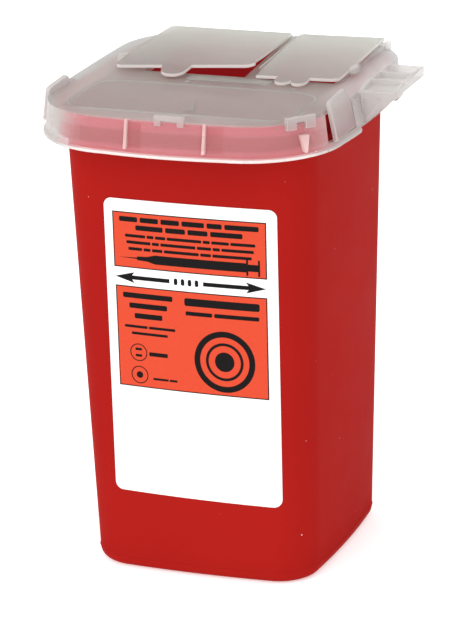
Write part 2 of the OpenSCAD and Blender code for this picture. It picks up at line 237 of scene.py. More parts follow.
def outline(size, corner, bow):
    """Points round a rectangle with rounded corners and bowed sides, anticlockwise."""
    points = []
    for quadrant in range(4):
        a, b = (size[0] / 2, size[1] / 2) if quadrant % 2 == 0 else (size[1] / 2, size[0] / 2)
        middle_a, middle_b = a - bow - corner, b - bow - corner
        local = []
        for i in range(CORNER_STEPS + 1):
            angle = math.pi / 2 * i / CORNER_STEPS
            local.append((middle_a + corner * math.cos(angle), middle_b + corner * math.sin(angle)))
        for i in range(1, SIDE_STEPS):
            s = 1 - 2 * i / SIDE_STEPS
            local.append((middle_a * s, b - bow * s * s))
        turn = math.pi / 2 * quadrant
        for x, y in local:
            points.append((x * math.cos(turn) - y * math.sin(turn),
                           x * math.sin(turn) + y * math.cos(turn)))
    return points


def ring(z, size, corner, bow, inset=0.0):
    """One level of a skin, moved inwards by inset."""
    smaller = (size[0] - 2 * inset, size[1] - 2 * inset)
    return [(x, y, z) for x, y in outline(smaller, max(corner - inset, 0.5), bow)]


def joined(count, levels=2):
    """The faces that join levels of count points each, with a cap at both ends."""
    faces = []
    for here in range(0, count * (levels - 1), count):
        for j in range(count):
            k = (j + 1) % count
            faces.append((here + j, here + k, here + count + k, here + count + j))
    caps = [tuple(reversed(range(count))), tuple(range(count * (levels - 1), count * levels))]
    return faces + caps


def skin(name, rings):
    """A mesh through rings of equal length, capped at both ends."""
    points = [p for level in rings for p in level]
    return new_object(name, mesh_from(name, points, joined(len(rings[0]), len(rings))))


def smooth(piece, angle=35):
    """Shades faces smoothly, except across edges sharper than angle."""
    mesh = piece.data
    mesh.polygons.foreach_set("use_smooth", [True] * len(mesh.polygons))
    mesh.set_sharp_from_angle(angle=math.radians(angle))
    return piece


def settle(piece):
    """Applies every modifier on the piece."""
    graph = bpy.context.evaluated_depsgraph_get()
    mesh = bpy.data.meshes.new_from_object(piece.evaluated_get(graph))
    piece.modifiers.clear()
    piece.data = mesh
    return piece


def combine(piece, other, operation):
    """Boolean of two closed meshes; the second one is used up."""
    modifier = piece.modifiers.new("boolean", "BOOLEAN")
    modifier.operation = operation
    modifier.object = other
    modifier.solver = "EXACT"
    settle(piece)
    bpy.data.objects.remove(other)
    return piece


def bevelled(piece, width, segments=2, angle=30, edge_slot=-1):
    """Rounds every edge sharper than angle; edge_slot is the material slot of the new faces."""
    modifier = piece.modifiers.new("bevel", "BEVEL")
    modifier.width = mm(width)
    modifier.segments = segments
    modifier.limit_method = "ANGLE"
    modifier.angle_limit = math.radians(angle)
    modifier.material = edge_slot
    return settle(piece)


def block(name, low, high):
    """A box between two corners."""
    x0, y0, z0 = low
    x1, y1, z1 = high
    points = [(x, y, z) for z in (z0, z1) for y in (y0, y1) for x in (x0, x1)]
    faces = [(0, 2, 3, 1), (4, 5, 7, 6), (0, 1, 5, 4), (2, 6, 7, 3), (0, 4, 6, 2), (1, 3, 7, 5)]
    return new_object(name, mesh_from(name, points, faces))


def face_outwards(piece):
    """Turns every face of a closed mesh outwards."""
    shape = bmesh.new()
    shape.from_mesh(piece.data)
    bmesh.ops.recalc_face_normals(shape, faces=shape.faces)
    shape.to_mesh(piece.data)
    shape.free()
    return piece


def prism(name, points, start, end, axis="x"):
    """An outline in the Y-Z plane (or X-Y, for axis z) drawn out along the other axis."""
    where = "xyz".index(axis)
    corners = [(*p[:where], t, *p[where:]) for t in (start, end) for p in points]
    return face_outwards(new_object(name, mesh_from(name, corners, joined(len(points)))))


def cut_to_cells(shape, axis, start, end, step, extra=()):
    """Cuts a flat face along lines across one axis, every step and at the extra places."""
    normal = Vector((0, 0, 0))
    normal[axis] = 1
    for place in [start + step * i for i in range(1, int((end - start) / step))] + list(extra):
        parts = shape.verts[:] + shape.edges[:] + shape.faces[:]
        bmesh.ops.bisect_plane(shape, geom=parts, plane_co=normal * mm(place), plane_no=normal, dist=1e-6)


def thick_sheet(name, shape, place, low, high):
    """A closed plate from flat faces; place(point, lift) says where a point goes at each lift."""
    lower = list(shape.verts)
    made = bmesh.ops.extrude_face_region(shape, geom=shape.faces[:], use_keep_orig=True)
    upper = [g for g in made["geom"] if isinstance(g, bmesh.types.BMVert)]
    for group, lift in ((lower, low), (upper, high)):
        for vert in group:
            vert.co = mm(*place([c * 1000 for c in vert.co], lift))
    bmesh.ops.recalc_face_normals(shape, faces=shape.faces)
    mesh = bpy.data.meshes.new(name)
    shape.to_mesh(mesh)
    shape.free()
    return new_object(name, mesh)


# -------- materials

RIGHT = (1, 0, 0)
LEFT = (-1, 0, 0)
FRONT = (0, -1, 0)
BACK = (0, 1, 0)
UP = (0, 0, 1)
MOST_NOISE = (0.3, 0.7)

# Where the rim's neck lies behind the skirt, the skirt is tinted darker as painted shade of the shadowed
# neck: a span of heights, and the shares of it where the belt fades in and out.
BELT_Z = (144, 154)
BELT_START = (0.16, 0.24)
BELT_END = (0.62, 0.68)


def material(name, **values):
    """A principled material whose uniform values sit on the shader's own sockets."""
    made = bpy.data.materials.new(name)
    made.use_nodes = True
    shader = made.node_tree.nodes["Principled BSDF"]
    for socket, value in values.items():
        shader.inputs[socket.replace("_", " ")].default_value = value
    return made, made.node_tree, shader


def node(tree, kind, **settings):
    """A new node; each setting is one of its own or the value of one of its sockets."""
    made = tree.nodes.new(kind)
    for key, value in settings.items():
        if hasattr(made, key):
            setattr(made, key, value)
        else:
            made.inputs[key.replace("_", " ")].default_value = value
    return made


def noise(tree, scale, detail=3.0, roughness=0.55):
    """Noise that lies still on the object, with scale in features per metre."""
    place = node(tree, "ShaderNodeTexCoord")
    made = node(tree, "ShaderNodeTexNoise", Scale=scale, Detail=detail, Roughness=roughness)
    tree.links.new(place.outputs["Object"], made.inputs["Vector"])
    return made


def ramp(tree, source, colours, span=MOST_NOISE):
    """Two colours, the first where the source is below its span and the second above it."""
    made = node(tree, "ShaderNodeValToRGB")
    for stop, position, colour in zip(made.color_ramp.elements, span, colours):
        stop.position = position
        stop.color = (*colour, 1)
    tree.links.new(source, made.inputs["Fac"])
    return made.outputs["Color"]


def spread(tree, source, start, end, span):
    """A number that goes from start to end while the source goes through its span."""
    made = node(tree, "ShaderNodeMapRange", From_Min=span[0], From_Max=span[1], To_Min=start, To_Max=end)
    tree.links.new(source, made.inputs["Value"])
    return made.outputs["Result"]


def bump(tree, shader, source, strength, distance):
    """Relief of the given depth in millimetres."""
    made = node(tree, "ShaderNodeBump", Strength=strength, Distance=mm(distance))
    tree.links.new(source, made.inputs["Height"])
    tree.links.new(made.outputs["Normal"], shader.inputs["Normal"])


def floor_material():
    """Matt white, lightly lit from within so that it stays pale under the object."""
    made, tree, shader = material("studio_floor", Roughness=0.9, Emission_Color=(1, 1, 1, 1),
                                  Emission_Strength=0.4)
    grain = noise(tree, 3)
    colour = ramp(tree, grain.outputs["Fac"], ((0.93, 0.93, 0.93), (0.95, 0.95, 0.95)))
    tree.links.new(colour, shader.inputs["Base Color"])
    return made


def red_plastic(name, glow):
    """Red polypropylene with a satin moulded skin and a few pale specks.

    glow is the strength of a painted glow: emission that stands in for the daylight that the thin wall
    lets through to its inner face.
    """
    made, tree, shader = material(name, Specular_IOR_Level=0.005, Emission_Color=(1, 0.04, 0.06, 1),
                                  Emission_Strength=glow)
    tint = noise(tree, 14, 2)
    colour = ramp(tree, tint.outputs["Fac"], ((0.335, 0.011, 0.009), (0.365, 0.013, 0.010)), (0.25, 0.75))
    specks = noise(tree, 700, 1, 0.4)
    fleck = ramp(tree, specks.outputs["Fac"], ((0, 0, 0), (1, 1, 1)), (0.83, 0.85))
    mix = node(tree, "ShaderNodeMix", data_type="RGBA")
    tree.links.new(fleck, mix.inputs["Factor"])
    tree.links.new(colour, mix.inputs["A"])
    mix.inputs["B"].default_value = (0.75, 0.35, 0.33, 1)
    tree.links.new(mix.outputs["Result"], shader.inputs["Base Color"])
    smear = noise(tree, 60, 4)
    tree.links.new(spread(tree, smear.outputs["Fac"], 0.42, 0.52, MOST_NOISE), shader.inputs["Roughness"])
    grain = noise(tree, 2600, 2)
    bump(tree, shader, grain.outputs["Fac"], 0.25, 0.03)
    return made


def share_along(tree, direction, start, end):
    """0 at start and 1 at end along a direction through the object, in millimetres."""
    place = node(tree, "ShaderNodeTexCoord")
    along = node(tree, "ShaderNodeVectorMath", operation="DOT_PRODUCT")
    along.inputs[1].default_value = direction
    tree.links.new(place.outputs["Object"], along.inputs[0])
    return spread(tree, along.outputs["Value"], 0, 1, (mm(start), mm(end)))


def share_past(tree, *turns):
    """The largest of several shares, each (direction, start, end)."""
    largest = share_along(tree, *turns[0])
    for turn in turns[1:]:
        larger = node(tree, "ShaderNodeMath", operation="MAXIMUM")
        tree.links.new(largest, larger.inputs[0])
        tree.links.new(share_along(tree, *turn), larger.inputs[1])
        largest = larger.outputs["Value"]
    return largest


def blend(tree, factor, first, second):
    """The first colour where the factor is 0, the second where it is 1."""
    mix = node(tree, "ShaderNodeMix", data_type="RGBA")
    for socket, source in (("Factor", factor), ("A", first), ("B", second)):
        tree.links.new(source, mix.inputs[socket])
    return mix.outputs["Result"]


def cloudy(tree, tint):
    """A tint with faint darker clouds."""
    cloud = noise(tree, 25, 3)
    return ramp(tree, cloud.outputs["Fac"], (tuple(0.97 * value for value in tint), tint))


def shade_belt_share(tree, share):
    """1 on the belt of painted shade where the rim's shadowed neck lies behind the skirt, as far as share
    is 0.
    """
    belt = ramp(tree, share_along(tree, UP, *BELT_Z), ((0, 0, 0), (1, 1, 1)), BELT_START)
    stops = belt.node.color_ramp.elements
    stops.new(BELT_END[0]).color = (1, 1, 1, 1)
    stops.new(BELT_END[1]).color = (0, 0, 0, 1)
    rest = node(tree, "ShaderNodeMath", operation="SUBTRACT")
    rest.inputs[0].default_value = 1
    tree.links.new(share, rest.inputs[1])
    made = node(tree, "ShaderNodeMath", operation="MULTIPLY")
    tree.links.new(belt, made.inputs[0])
    tree.links.new(rest.outputs["Value"], made.inputs[1])
    return made.outputs["Value"]


def over_rim(tree, tints):
    """How far a place lies outside the panel and the flaps, and its tint there.

    The three tints are those of the left, the right front and the right rear, and are painted light: the
    margin is tinted to follow how the light falls on it, near white at the right rear.
    """
    outside = share_past(tree, (RIGHT, 36, 38.5), (LEFT, 35.5, 37.5), (FRONT, 46, 48))
    left, right_front, right_rear = (cloudy(tree, tint) for tint in tints)
    right = blend(tree, share_along(tree, BACK, -30, 0), right_front, right_rear)
    return outside, blend(tree, share_along(tree, RIGHT, 15, 40), left, right)


def frosted(name, clearness, smoothness, solidity, turns, tint, other_tint, band=None, border=None):
    """Natural polypropylene: cloudy, so that what lies close behind it shows through softly.

    Its tint and its solidity, the share of the surface that isn't plain clear, change from their
    first value to their second over turns. band is the darker tint painted as shade on the belt where
    the rim's shadowed neck lies behind, and border holds the three tints over the rim, painted light.
    """
    made, tree, shader = material(name, IOR=1.42, Transmission_Weight=clearness, Alpha=solidity[0])
    share = share_past(tree, *turns)
    colour = blend(tree, share, cloudy(tree, tint), cloudy(tree, other_tint))
    if band:
        # Painted shade: the skirt is tinted darker on the belt where the rim's shadowed neck lies behind.
        colour = blend(tree, shade_belt_share(tree, share), colour, cloudy(tree, band))
    if border:
        outside, around = over_rim(tree, border)
        colour = blend(tree, outside, colour, around)
    tree.links.new(colour, shader.inputs["Base Color"])
    if solidity[0] != solidity[1]:
        tree.links.new(spread(tree, share, *solidity, (0, 1)), shader.inputs["Alpha"])
    smear = noise(tree, 90, 4)
    rough = spread(tree, smear.outputs["Fac"], smoothness, smoothness + 0.08, MOST_NOISE)
    tree.links.new(rough, shader.inputs["Roughness"])
    grain = noise(tree, 1400, 3)
    bump(tree, shader, grain.outputs["Fac"], 0.2, 0.01)
    return made


def film(name, specular, tooth_scale, colours, roughness, relief):
    """A thin layer with the faint tooth of coated paper."""
    made, tree, shader = material(name, Specular_IOR_Level=specular)
    tooth = noise(tree, tooth_scale, 4).outputs["Fac"]
    tree.links.new(ramp(tree, tooth, colours), shader.inputs["Base Color"])
    tree.links.new(spread(tree, tooth, *roughness, MOST_NOISE), shader.inputs["Roughness"])
    bump(tree, shader, tooth, relief, 0.02)
    return made


def label_film():
    """White label stock."""
    return film("label_film", 0.4, 1500, ((0.88, 0.88, 0.87), (0.93, 0.93, 0.92)), (0.42, 0.52), 0.15)


def printed_ink(name, dark, light):
    """Ink printed on the label."""
    return film(name, 0.08, 1800, (dark, light), (0.40, 0.50), 0.1)


# Over these stretches the skirt and the bead change from their front look to their side look: the pink
# front is partly the red rim showing through, and the darker sides are painted light, tinted as the light
# falls on them.
AROUND = (((-0.27, 1, 0), -46, -39), (BACK, -44, -30))
MATERIALS = {
    "red": red_plastic("red_plastic", 0.0),
    # Painted glow: the container's inner faces glow faintly red, standing in for daylight through its thin
    # wall.
    "red_inside_painted_glow": red_plastic("red_plastic_inside_painted_glow", 0.1),
    # Painted light: the skirt's sides are tinted darker than its front, as the light falls on them.
    "skirt": frosted("frosted_skirt_painted_light", 0.0, 0.25, (0.33, 0.75), AROUND,
                     (0.82, 0.35, 0.38), (0.53, 0.48, 0.46), band=(0.67, 0.29, 0.30)),
    # Painted shade: the pockets beside the skirt's ribs are tinted darker than the skirt, as shade in
    # their recess.
    "pocket": frosted("frosted_pocket_painted_shade", 0.0, 0.25, (0.33, 0.75), AROUND,
                      (0.72, 0.265, 0.285), (0.53, 0.48, 0.46), band=(0.64, 0.25, 0.26)),
    # Painted light: the deck is tinted darker at the front and lighter towards the rear, and its margin
    # over the rim follows how the light falls.
    "deck": frosted("frosted_deck_painted_light", 0.5, 0.34, (0.45, 0.60), ((BACK, -40, 45),),
                    (0.56, 0.56, 0.525), (0.74, 0.78, 0.71),
                    border=((0.74, 0.75, 0.71), (0.57, 0.60, 0.56), (0.99, 1.0, 1.0))),
    # Painted light: the flaps are tinted dark and brownish at the front and lighter towards the hinge at
    # the rear, as the light falls.
    "flap": frosted("frosted_flap_painted_light", 0.5, 0.34, (0.60, 0.70), (((0.22, 1, 0), -8, 40),),
                    (0.465, 0.41, 0.38), (0.79, 0.80, 0.735)),
    # The lip, edge and rib tints are paler than the faces around them: partly the paler look of thick
    # plastic, partly painted highlight where the edges catch the light.
    "lip": frosted("frosted_lip_painted_highlight", 0.2, 0.28, (0.80, 0.75), ((BACK, 0, 40),),
                   (0.98, 0.93, 0.91), (0.84, 0.82, 0.78)),
    "bracket": frosted("frosted_bracket", 0.3, 0.28, (0.60, 0.60), ((UP, 146, 156),),
                       (0.62, 0.57, 0.56), (0.72, 0.69, 0.67)),
    "edge": frosted("frosted_edge_painted_highlight", 0.2, 0.28, (0.60, 0.60), ((UP, 147, 156),),
                    (0.80, 0.70, 0.70), (0.74, 0.70, 0.68)),
    "rib": frosted("frosted_rib_painted_highlight", 0.2, 0.25, (0.60, 0.60), ((UP, 146, 153),),
                   (0.93, 0.72, 0.70), (0.90, 0.66, 0.64)),
    "catch": frosted("frosted_catch", 0.3, 0.28, (0.38, 0.42), ((UP, 150, 155),),
                     (0.64, 0.53, 0.52), (0.64, 0.58, 0.56)),
    "arm": frosted("frosted_arm", 0.3, 0.28, (0.55, 0.75), ((UP, 147, 156),),
                   (0.58, 0.42, 0.43), (0.62, 0.57, 0.55)),
    # Partly the paler look of thick plastic, partly a painted highlight along the bead's lower edge at the
    # front; its sides are painted darker as the light falls.
    "bead": frosted("frosted_bead_painted_highlight", 0.2, 0.25, (0.85, 0.80), AROUND,
                    (0.88, 0.83, 0.80), (0.50, 0.48, 0.46)),
    "thick": frosted("frosted_edges", 0.3, 0.28, (0.52, 0.55), ((BACK, -50, -35),),
                     (0.72, 0.67, 0.65), (0.74, 0.72, 0.70)),
    "label": label_film(),
    "orange": printed_ink("orange_ink", (0.62, 0.062, 0.026), (0.66, 0.072, 0.031)),
    "black": printed_ink("black_ink", (0.005, 0.004, 0.004), (0.008, 0.007, 0.007)),
}


def finish_piece(piece, look, body, *nodes, others=(), choose=None):
    """Gives a piece its material and slot, and ties it to the CAD. choose(face) picks among others."""
    piece.data.materials.clear()
    for kind in (look, *others):
        piece.data.materials.append(MATERIALS[kind])
    if choose:
        for face in piece.data.polygons:
            face.material_index = choose(face)
    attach(piece, body)
    if nodes:
        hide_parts(*nodes)
    return piece


# -------- container


def body_size(z):
    """The body's width and depth at a height."""
    t = z / LID_BOTTOM_Z
    return tuple(a + (b - a) * t for a, b in zip(BODY_BOTTOM, BODY_TOP))


def body_ring(z, inset=0.0):
    """One level of the body."""
    return ring(z, body_size(z), BODY_CORNER, BODY_BOW, inset)


def rim_ring(z, inset=0.0, bow=DECK_BOW):
    """One level of the rim."""
    return ring(z, RIM_SIZE, DECK_CORNER - 2, bow, inset)


def rounded_edge(make, z, inset, radius, start, end, steps=4):
    """Rings round an arc; start and end are angles from straight out, in degrees."""
    rings = []
    for i in range(steps + 1):
        angle = math.radians(start + (end - start) * i / steps)
        rings.append(make(z + radius * math.sin(angle), inset - radius * math.cos(angle)))
    return rings


def inner_face(face):
    """1 for a face of the container's inside, 0 for the rest."""
    x, y, z = face.center * 1000
    return int(z > BODY_FLOOR - 0.1 and face.normal.dot(Vector((x, y, -9))) < 0)


def shelf_ring(z, inset):
    """One level of the shelf, whose sides are bowed like the lid's bead."""
    return rim_ring(z, inset, BEAD_BOW)


def rim_outside():
    """Rings over the shelf, up the neck and over the flange."""
    edge = RIM_EDGE
    rings = [shelf_ring(SHELF_Z, 0.5)]
    rings += rounded_edge(shelf_ring, SHELF_Z + edge, edge - SHELF_REACH, edge, -90, 0)
    rings += rounded_edge(shelf_ring, NECK_Z - edge, edge - SHELF_REACH, edge, 0, 90)
    rings += [rim_ring(NECK_Z, NECK_INSET - edge), rim_ring(NECK_Z + edge, NECK_INSET)]
    flange_low = RIM_TOP_Z - FLANGE_H
    rings += [rim_ring(flange_low - RIM_FILLET, NECK_INSET), rim_ring(flange_low, NECK_INSET - RIM_FILLET)]
    rings += rounded_edge(rim_ring, flange_low + edge, edge, edge, -90, 0)
    return rings + rounded_edge(rim_ring, RIM_TOP_Z - edge, edge, edge, 0, 90)


def rim_inside():
    """Rings down the inside of the rim, to where the body's wall begins."""
    inset = NECK_INSET + BODY_WALL
    rings = [rim_ring(RIM_TOP_Z, inset - RIM_EDGE), rim_ring(RIM_TOP_Z - RIM_EDGE, inset)]
    rings += [rim_ring(NECK_Z + 0.6, inset), rim_ring(NECK_Z, inset + 0.6)]
    return rings + [body_ring(NECK_Z, BODY_WALL - 0.5), body_ring(NECK_Z - 0.5, BODY_WALL)]


def make_container():
    """One skin from the foot, up the outside, over the stepped rim and down to the inner floor.

    A fine raised line runs round the body just above the foot's curve.
    """
    above, below = FOOT_RECESS_INSETS
    rings = [body_ring(FOOT_RECESS, CAP_INSET), body_ring(FOOT_RECESS, above), body_ring(0.0, below)]
    rings += rounded_edge(body_ring, BODY_FOOT, BODY_FOOT, BODY_FOOT, -90, 0, 8)
    rings += [body_ring(z, -h) for z, h in zip(FOOT_LINE_Z, (0, FOOT_LINE_H, 0))]
    rings += [body_ring(z) for z in range(10, 140, 10)]
    rings += [body_ring(SHELF_Z - 1.2), body_ring(SHELF_Z - RIM_FILLET, -RIM_FILLET)]
    rings += rim_outside() + rim_inside()
    rings += [body_ring(z, BODY_WALL) for z in range(140, 0, -20)]
    rings += [body_ring(BODY_FLOOR + FLOOR_ROUND * (1 - math.cos(a)),
                        BODY_WALL + FLOOR_ROUND * (1 - math.sin(a)))
              for a in (math.pi / 2, math.pi / 3, math.pi / 6, 0)]
    rings += [body_ring(BODY_FLOOR, CAP_INSET)]
    piece = smooth(skin("container_shell", rings), 40)
    finish_piece(piece, "red", "base", "container", others=("red_inside_painted_glow",), choose=inner_face)


# -------- label


def front_point(x, z, lift):
    """The point of the container's front face at x and z, moved out by lift."""
    width, depth = body_size(z)
    middle_x = width / 2 - BODY_BOW - BODY_CORNER
    if abs(x) <= middle_x:
        y = depth / 2 - BODY_BOW * (x / middle_x) ** 2
    else:
        across = abs(x) - middle_x
        y = depth / 2 - BODY_BOW - BODY_CORNER + math.sqrt(BODY_CORNER ** 2 - across ** 2)
    return (x, -y - lift, z)


def laid_askew(plan, lift):
    """Where a point of the label's plan lies: its lower edge is pulled in and a little down."""
    u, _, v = plan
    down = 1 - v / LABEL_SIZE[1]
    right = u / LABEL_SIZE[0] + 0.5
    x = u - down * (ASKEW_IN[0] + ASKEW_IN[1] * right) + LABEL_X
    z = v - down * (ASKEW_DOWN[0] + ASKEW_DOWN[1] * right) + LABEL_Z
    return front_point(x, z, lift)


def rectangle(u0, v0, u1, v1):
    """The corners of a rectangle, anticlockwise."""
    return [(u0, v0), (u1, v0), (u1, v1), (u0, v1)]


def rounded_rectangle(u0, v0, u1, v1, radius, steps=6):
    """A rectangle with round corners, anticlockwise."""
    points = []
    for cu, cv, start in ((u1 - radius, v1 - radius, 0), (u0 + radius, v1 - radius, 90),
                          (u0 + radius, v0 + radius, 180), (u1 - radius, v0 + radius, 270)):
        for i in range(steps + 1):
            angle = math.radians(start + 90 * i / steps)
            points.append((cu + radius * math.cos(angle), cv + radius * math.sin(angle)))
    return points


def disc(u, v, radius, steps=48):
    """A round outline."""
    turns = [2 * math.pi * i / steps for i in range(steps)]
    return [(u + radius * math.cos(a), v + radius * math.sin(a)) for a in turns]


def sector(u, v, outer, inner, start, end, steps=32):
    """A piece of a ring between two angles in degrees."""
    angles = [math.radians(start + (end - start) * i / steps) for i in range(steps + 1)]
    return ([(u + outer * math.cos(a), v + outer * math.sin(a)) for a in angles]
            + [(u + inner * math.cos(a), v + inner * math.sin(a)) for a in reversed(angles)])


def wrap_on_front(name, shapes, low, high, look, *nodes):
    """Closed sheets that lie on the curved front; outlines are in the label's own u and v."""
    shape = bmesh.new()
    for points in shapes:
        shape.faces.new([shape.verts.new(mm(u, 0, v)) for u, v in points])
    cut_to_cells(shape, 0, -30, 30, 2)
    bmesh.ops.triangulate(shape, faces=[f for f in shape.faces if len(f.verts) > 4])
    piece = thick_sheet(name, shape, laid_askew, low, high)
    return finish_piece(smooth(piece, 50), look, "base", *nodes)


def words(u0, u1, v, height, lengths):
    """A line of plain bars that stands for a line of print."""
    gap = height * 0.55
    room = (u1 - u0) - gap * (len(lengths) - 1)
    bars = []
    u = u0
    for length in lengths:
        width = room * length / sum(lengths)
        bars.append(rounded_rectangle(u, v - height / 2, u + width, v + height / 2, height * 0.22, 2))
        u += width + gap
    return bars


def arrow(tail, tip, v):
    """A flat arrow along u."""
    way = 1 if tip > tail else -1
    neck = tip - way * 5.6
    barb = tip - way * 6.4
    half, barb_half = 0.65, 1.75
    points = [(tail, v - half), (neck, v - half), (barb, v - barb_half), (tip, v),
              (barb, v + barb_half), (neck, v + half), (tail, v + half)]
    return points if way > 0 else list(reversed(points))


PANEL_TOP = (-25.5, 74.9, 25.0, 93.0)
PANEL_LOW = (-25.3, 35.7, 24.9, 68.9)
PANEL_LINE = 0.32
SYRINGE_V = 78.2
ARROWS = ((-7.0, -25.2), (4.2, 24.6))
ARROW_V = 71.75
SMALL_RINGS = ((-18.3, 47.2), (-18.2, 39.8))
LARGE_RING = (10.6, 46.9)

# Lines of print: left and right end, distance below the panel's top, height, lengths of the words.
TOP_LINES = ((-23.2, 22.6, 2.3, 1.6, (5, 5, 5, 6, 4, 9)),
             (-17.8, 17.4, 4.9, 1.6, (7, 5, 5, 8)),
             (-21.4, 21.4, 7.6, 0.95, (6, 2, 3, 10, 2, 5, 7)),
             (-21.0, 20.9, 9.7, 0.95, (7, 2, 10, 4, 2, 9)),
             (-20.4, 20.2, 11.8, 0.95, (4, 2, 3, 10, 3, 11)))
LOW_LINES = ((-22.9, -6.2, 3.0, 1.7, (1,)),
             (-20.9, -8.1, 6.3, 1.7, (1,)),
             (-19.2, -9.8, 9.6, 1.7, (1,)),
             (-22.7, -5.6, 13.2, 0.85, (7, 8)),
             (-20.4, -8.2, 15.4, 0.85, (1,)),
             (-19.4, -17.2, 20.6, 0.8, (1,)),
             (-19.4, -17.2, 22.7, 0.8, (1,)),
             (-14.7, -8.4, 21.9, 1.3, (1,)),
             (-13.6, -5.4, 30.0, 0.7, (6, 3)),
             (-2.2, 22.4, 3.4, 2.5, (1,)),
             (-1.9, 22.2, 7.1, 1.3, (6, 10)))


def frame_of(panel):
    """Four thin strips round a panel."""
    u0, v0, u1, v1 = panel
    t = PANEL_LINE
    strips = [(u0, v0, u1, v0 + t), (u0, v1 - t, u1, v1), (u0, v0 + t, u0 + t, v1 - t),
              (u1 - t, v0 + t, u1, v1 - t)]
    return [rectangle(*strip) for strip in strips]


def syringe(v):
    """A plain syringe lying along u with its needle to the left."""
    needle = [(-23.6, v + 0.02), (-17.6, v - 0.22), (-17.6, v + 0.22)]
    nose = [(-17.6, v - 0.6), (-14.2, v - 0.75), (-11.6, v - 1.45), (-11.6, v + 1.45),
            (-14.2, v + 0.75), (-17.6, v + 0.6)]
    barrel, flange, plunger, thumb = ((-11.6, 18.4, 1.45), (18.4, 19.0, 2.5), (19.0, 22.2, 1.1),
                                      (22.2, 22.8, 2.6))
    return [needle, nose] + [rectangle(start, v - half, end, v + half)
                             for start, end, half in (barrel, flange, plunger, thumb)]


def circle_line(u, v, radius, width):
    """A ring, as two half rings."""
    return [sector(u, v, radius, radius - width, 0, 180), sector(u, v, radius, radius - width, 180, 360)]


def printed_shapes():
    """Everything printed in black."""
    ink = frame_of(PANEL_TOP) + frame_of(PANEL_LOW) + syringe(SYRINGE_V)
    for panel, lines in ((PANEL_TOP, TOP_LINES), (PANEL_LOW, LOW_LINES)):
        for left, right, below, height, lengths in lines:
            ink += words(left, right, panel[3] - below, height, lengths)
    ink += [arrow(tail, tip, ARROW_V) for tail, tip in ARROWS]
    ink += words(-5.5, 2.6, ARROW_V, 2.1, (1, 1, 1, 1))
    for place in SMALL_RINGS:
        ink += circle_line(*place, 2.9, 0.3)
    ink += circle_line(*LARGE_RING, 10.0, 1.9) + circle_line(*LARGE_RING, 6.2, 0.9)
    return ink + [disc(*SMALL_RINGS[1], 1.1, 24), disc(*LARGE_RING, 3.2)]


def make_label():
    """The label's white sheet, its two orange panels and its black print."""
    half = LABEL_SIZE[0] / 2
    sheet = [rounded_rectangle(-half, 0, half, LABEL_SIZE[1], LABEL_CORNER, 8)]
    wrap_on_front("front_label_sheet", sheet, SINK, LABEL_LIFT, "label", "front_label")
    low = LABEL_LIFT - SINK
    fields = [rectangle(*panel) for panel in (PANEL_TOP, PANEL_LOW)]
    wrap_on_front("label_fields", fields, low, LABEL_LIFT + FIELD_T, "orange")
    wrap_on_front("label_print", printed_shapes(), low, LABEL_LIFT + PRINT_T, "black")


# -------- lid


RIB_X = (-12.1, 13.2)
RIB_T = 1.0
POCKET_W = 4.5
POCKET_Z = (145.7, 153.4)
POCKET_DEPTH = 0.45


def skirt_front_y(z):
    """Where the middle of the skirt's front stands at a height."""
    t = (z - LID_BOTTOM_Z - BEAD_H) / (DECK_Z - LID_BOTTOM_Z - BEAD_H)
    return -(BEAD_SIZE[1] / 2 - BEAD_OUT) * (1 - t) - DECK_SIZE[1] / 2 * t


def skirt_pocket(x):
    """The cutter for a shallow recess beside a rib of the skirt."""
    low, high = POCKET_Z
    outside = -60
    side = [(outside, low), (skirt_front_y(low) + POCKET_DEPTH, low),
            (skirt_front_y(high) + POCKET_DEPTH, high), (outside, high)]
    return prism("pocket", side, x, x + RIB_T / 2 + POCKET_W)


def lid_ring(z, inset=0.0):
    """One level of the lid, which leans in from its bead to its deck."""
    t = min(max((z - LID_BOTTOM_Z - BEAD_H) / (DECK_Z - LID_BOTTOM_Z - BEAD_H), 0), 1)
    low = [side - 2 * BEAD_OUT for side in BEAD_SIZE]
    size = tuple(a + (b - a) * t for a, b in zip(low, DECK_SIZE))
    corner = BEAD_CORNER + (DECK_CORNER - BEAD_CORNER) * t
    bow = BEAD_BOW + (DECK_BOW - BEAD_BOW) * t
    return ring(z, size, corner, bow, inset)


def lid_look(face):
    """0 for the clear skirt, 1 for the matt deck and curb, 2 for the thick bead with its painted
    highlight, 3 for the pockets with their painted shade.
    """
    x, y, height = face.center * 1000
    if height > DECK_Z - LID_WALL - 0.1 and (abs(face.normal.z) > 0.5 or height > DECK_Z - 0.6):
        return 1
    in_pocket = any(rib < x < rib + RIB_T + POCKET_W for rib in RIB_X)
    if in_pocket and y < -DECK_SIZE[1] / 2 + 1 and POCKET_Z[0] < height < POCKET_Z[1]:
        return 3
    return 2 if height < LID_BOTTOM_Z + 1.3 else 0


def opening_outlines():
    """The two drop openings, whose edges beside the divider slant with the flaps."""
    large = [large_right(y) - DIVIDER_LAP for y in OPENING_Y]
    small = [flap_edges(SMALL_FLAP_X, SMALL_FLARE, y)[0] + DIVIDER_LAP for y in OPENING_Y]
    front, rear = OPENING_Y
    left, right = LARGE_OPENING_LEFT, SMALL_OPENING_RIGHT
    return [[(left, front), (large[0], front), (large[1], rear), (left, rear)],
            [(small[0], front), (right, front), (right, rear), (small[1], rear)]]


